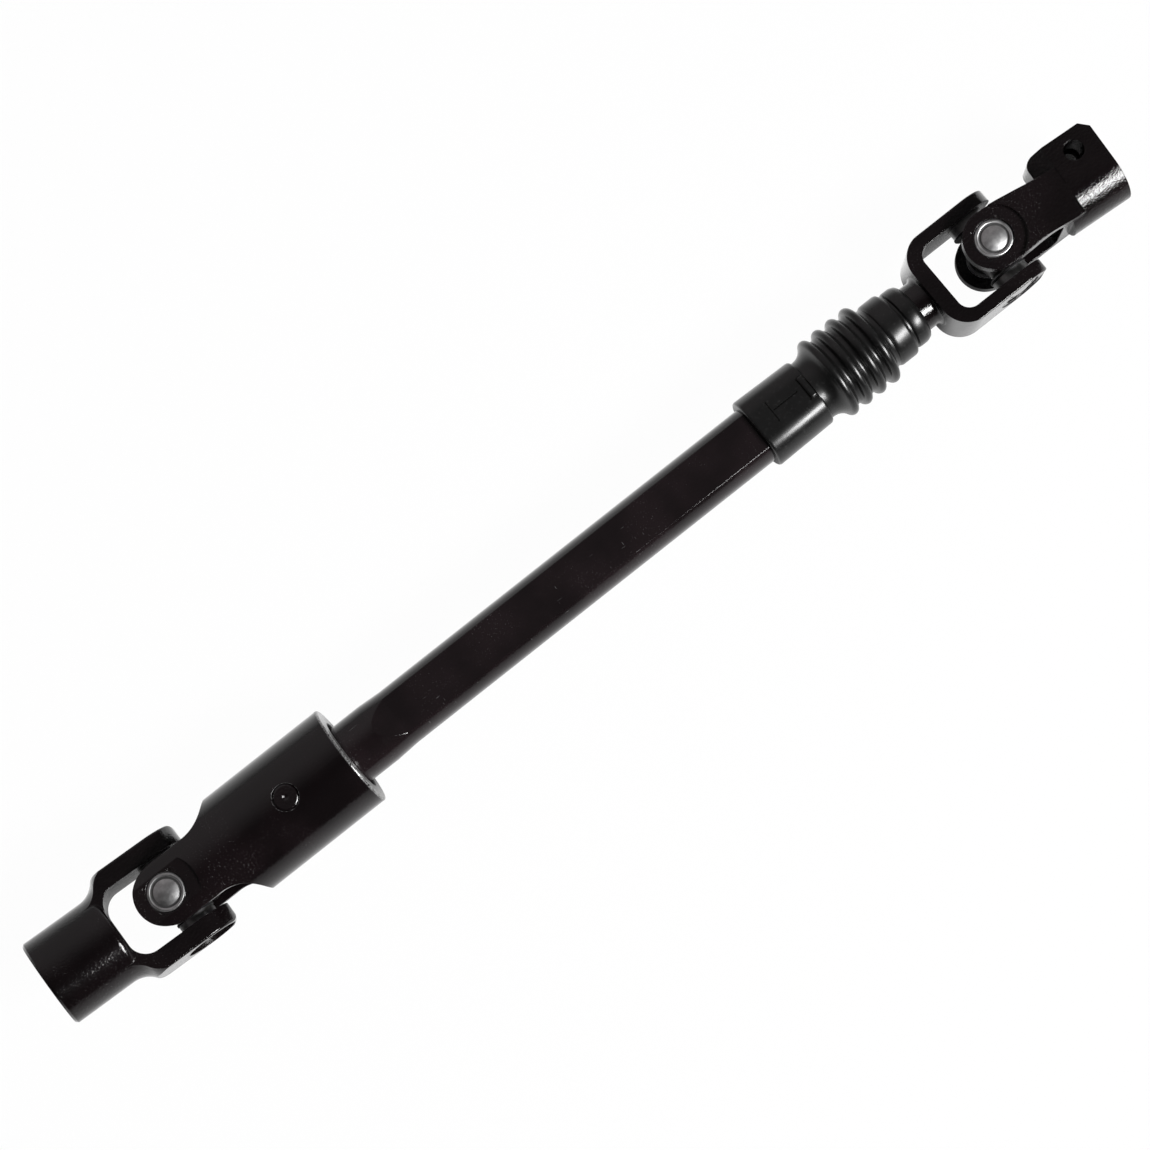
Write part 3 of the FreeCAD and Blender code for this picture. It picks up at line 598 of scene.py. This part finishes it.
def spaced(stations):
    """The stations without any that fall on the one before."""
    kept = stations[:1]
    for station in stations[1:]:
        if math.dist(station, kept[-1]) > 0.02:
            kept.append(station)
    return kept


def make_bellows(finish):
    """The folds, the sleeve and the bead on the fork's stem, as one rubber shell."""
    outer = [(NECK_START, NECK_RADIUS)] + fold_line(0.0)
    outer += [
        (358.2, 14.3),
        (358.9, 14.68),
        (360.0, SLEEVE_RADIUS),
        (365.4, SLEEVE_RADIUS),
        (366.3, 14.5),
        (366.8, 13.9),
        (366.9, 12.7),
        (367.3, 12.2),
        (368.0, 12.2),
        (368.4, 12.6),
        (368.6, 13.1),
        (369.2, 13.35),
        (372.4, 13.35),
        (373.3, 13.1),
        (374.5, 12.6),
        (374.95, 12.0),
        (375.0, 11.0),
        (374.8, STEM_RADIUS),
    ]
    inner = [(NECK_START, NECK_RADIUS - WALL)] + fold_line(WALL) + [(SLEEVE_START, STEM_RADIUS)]
    return ring_shell("boot_bellows", LOWER_CENTRE, spaced(outer + inner[::-1]), 96, finish)


def make_boot():
    finish = rubber("boot_rubber", tone=0.006, roughness=0.23, grain=0.014 * MM)
    collar = make_collar(finish)
    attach(collar, "outer_shaft")
    bellows = make_bellows(finish)
    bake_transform(bellows)
    for piece in (collar, bellows):
        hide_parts("boot")


def stand_on(piece, mount):
    """Moves a piece made along +X from the origin to where a mount starts, along its axis."""
    turn = Vector(mount["axis"]).to_track_quat("X", "Z").to_matrix().to_4x4()
    piece.data.transform(Matrix.Translation(mount["pos_m"]) @ turn)


def make_splines(name, body, start, end, finish):
    """The fine teeth in a clamp's bore, from start to end along its mount's axis, in mm."""
    deselect_all()
    mount = mounts[name.removesuffix("_teeth")]
    corners = 72
    valley_share = 0.93
    middle = ((start + end) / 2 * MM, 0, 0)
    bpy.ops.mesh.primitive_cylinder_add(
        vertices=corners,
        radius=(mount["dims"]["r_mm"] - 0.1) * MM,
        depth=abs(end - start) * MM,
        end_fill_type="NOTHING",
        location=middle,
        rotation=(0, math.pi / 2, 0),
    )
    teeth = named(name, finish)
    bpy.ops.object.transform_apply(location=True, rotation=True, scale=True)
    for vertex in teeth.data.vertices:
        corner = round(math.atan2(vertex.co.z, vertex.co.y) / math.tau * corners)
        if corner % 2:
            vertex.co.yz *= valley_share
    use_modifier(teeth, "SOLIDIFY", thickness=0.4 * MM, offset=1.0)
    stand_on(teeth, mount)
    settle(teeth, 20.0)
    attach(teeth, body)


def make_thread(name, body, start, end, finish):
    """The thread in a tapped ear, a ridge wound round its mount's axis from start to end, in mm."""
    deselect_all()
    mount = mounts[name]
    pitch = 1.25
    steps_per_turn = 20
    turns = (end - start) / pitch
    steps = int(turns * steps_per_turn)
    bpy.ops.mesh.primitive_circle_add(
        vertices=3,
        radius=0.45 * MM,
        location=(start * MM, 0, (mount["dims"]["r_mm"] - 0.1) * MM),
        rotation=(math.pi / 2, 0, 0),
    )
    ridge = named(name, finish)
    bpy.ops.object.transform_apply(location=True, rotation=True, scale=True)
    use_modifier(
        ridge,
        "SCREW",
        axis="X",
        angle=turns * math.tau,
        screw_offset=(end - start) * MM,
        steps=steps,
        render_steps=steps,
    )
    bpy.ops.object.mode_set(mode="EDIT")
    bpy.ops.mesh.select_all(action="SELECT")
    bpy.ops.mesh.fill_holes(sides=3)
    bpy.ops.object.mode_set(mode="OBJECT")
    stand_on(ridge, mount)
    settle(ridge, 30.0)
    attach(ridge, body)


def make_clamp_details():
    """The teeth and threads that the CAD leaves as plain bores. Each is named after its mount."""
    finish = plain_paint("bore_coating", cast=0.3, tone=0.012)
    make_splines("gear_bore_teeth", "lower_yoke", -22.0, -0.5, finish)
    make_splines("column_bore_teeth", "clamp_yoke", -20.0, 0.5, finish)
    make_thread("gear_bolt_thread", "lower_yoke", -0.4, 9.4, finish)
    make_thread("column_bolt_thread", "clamp_yoke", -0.4, 11.4, finish)


# ---------------------------------------------------------------------------
# Stage
# ---------------------------------------------------------------------------


def make_floor():
    """A white floor that lets the backdrop through, so that a yoke that tilts below it still shows.

    It keeps the shadow faintly. What the paint mirrors of it is dimmer with distance, right under
    the shaft, and on the side of the lamp.
    """
    deselect_all()
    height = cad_box[0][2] - 0.2 * MM
    bpy.ops.mesh.primitive_grid_add(
        x_subdivisions=4,
        y_subdivisions=4,
        size=8.0,
        location=(0.25, 0, height),
    )
    floor = bpy.context.object
    floor.name = "floor"
    paper = Finish("white_paper")
    paper.set("Base Color", grey(0.9))
    paper.set("Roughness", 0.9)
    camera, glossy, transmitted, shadow = (
        paper.node("ShaderNodeLightPath", {}, {}, f"Is {kind} Ray")
        for kind in ("Camera", "Glossy", "Transmission", "Shadow")
    )
    clear = (camera + transmitted) * 0.98 + shadow
    across = paper.axis()[1]
    away = across.math("ABSOLUTE")
    far_light = 0.14
    near_light = (away + 0.03) ** -1 * 0.05 * away.ramp_mm(9.0, 24.0)
    off_lamp = 1 + 0.5 * across.ramp_mm(0.0, 20.0)
    glow = paper.node("ShaderNodeEmission", {}, {"Strength": far_light + near_light * off_lamp})
    matte = Wire(paper, paper.shader.outputs[0])
    backdrop = paper.node("ShaderNodeBsdfTransparent", {}, {})
    direct = paper.node("ShaderNodeMixShader", {}, {0: clear, 1: matte, 2: backdrop})
    mix = paper.node("ShaderNodeMixShader", {}, {0: glossy * 0.9, 1: direct, 2: glow})
    paper.feed(paper.nodes["Material Output"].inputs["Surface"], mix)
    floor.data.materials.append(paper.material)


def make_world():
    """A dim, slightly warm room that is darker on the side of the lamp, with a white backdrop."""
    world = bpy.data.worlds.new("room")
    bpy.context.scene.world = world
    world.use_nodes = True
    tree = world.node_tree
    place = tree.nodes.new("ShaderNodeTexCoord")
    parts = tree.nodes.new("ShaderNodeSeparateXYZ")
    side = tree.nodes.new("ShaderNodeMapRange")
    side.inputs["From Min"].default_value = -0.15
    side.inputs["From Max"].default_value = 0.85
    ramp = tree.nodes.new("ShaderNodeValToRGB")
    tree.links.new(place.outputs["Generated"], parts.inputs[0])
    tree.links.new(parts.outputs["Y"], side.inputs[0])
    tree.links.new(side.outputs[0], ramp.inputs[0])
    ramp.color_ramp.interpolation = "EASE"
    stops = ramp.color_ramp.elements
    stops[0].color = grey(0.01)
    stops[1].color = (0.28, 0.26, 0.265, 1)
    rays = tree.nodes.new("ShaderNodeLightPath")
    seen = tree.nodes.new("ShaderNodeMix")
    seen.data_type = "RGBA"
    seen.inputs[7].default_value = grey(1.0)
    tree.links.new(rays.outputs["Is Camera Ray"], seen.inputs[0])
    tree.links.new(ramp.outputs[0], seen.inputs[6])
    tree.links.new(seen.outputs[2], tree.nodes["Background"].inputs["Color"])
    tree.nodes["Background"].inputs["Strength"].default_value = 1.0


def make_lamp():
    """A soft lamp on the near side, aimed at the upper half of the shaft."""
    data = bpy.data.lights.new("near_side", "AREA")
    data.shape = "RECTANGLE"
    data.size, data.size_y = (0.85, 0.48)
    data.energy = 38.0
    lamp = bpy.data.objects.new("near_side", data)
    bpy.context.scene.collection.objects.link(lamp)
    lamp.location = (0.95, -1.1, 1.1)
    toward = Vector((0.45, 0, 0)) - lamp.location
    lamp.rotation_euler = toward.to_track_quat("-Z", "Y").to_euler()


def make_camera():
    """The photograph's camera, as solved from the outlines of the pieces."""
    picture_width = 1150
    focal_length = 2152.6
    distance = 864.0
    data = bpy.data.cameras.new("camera")
    data.sensor_width = 36.0
    data.lens = focal_length / picture_width * data.sensor_width
    camera = bpy.data.objects.new("camera", data)
    bpy.context.scene.collection.objects.link(camera)
    turn = Matrix.Identity(4)
    for degrees, axis in ((-2.367, "Y"), (7.52, "X"), (-38.612, "Z")):
        turn = turn @ Matrix.Rotation(math.radians(degrees), 4, axis)
    aim = LOWER_CENTRE + Vector((201.83, 0.9, 0)) * MM
    camera.matrix_world = Matrix.Translation(aim) @ turn @ Matrix.Translation((0, 0, distance * MM))
    bpy.context.scene.camera = camera


deselect_all()
bpy.context.scene.view_settings.view_transform = "Standard"
paint_nodes()
make_boot()
make_clamp_details()
deselect_all()
make_floor()
make_world()
make_lamp()
make_camera()
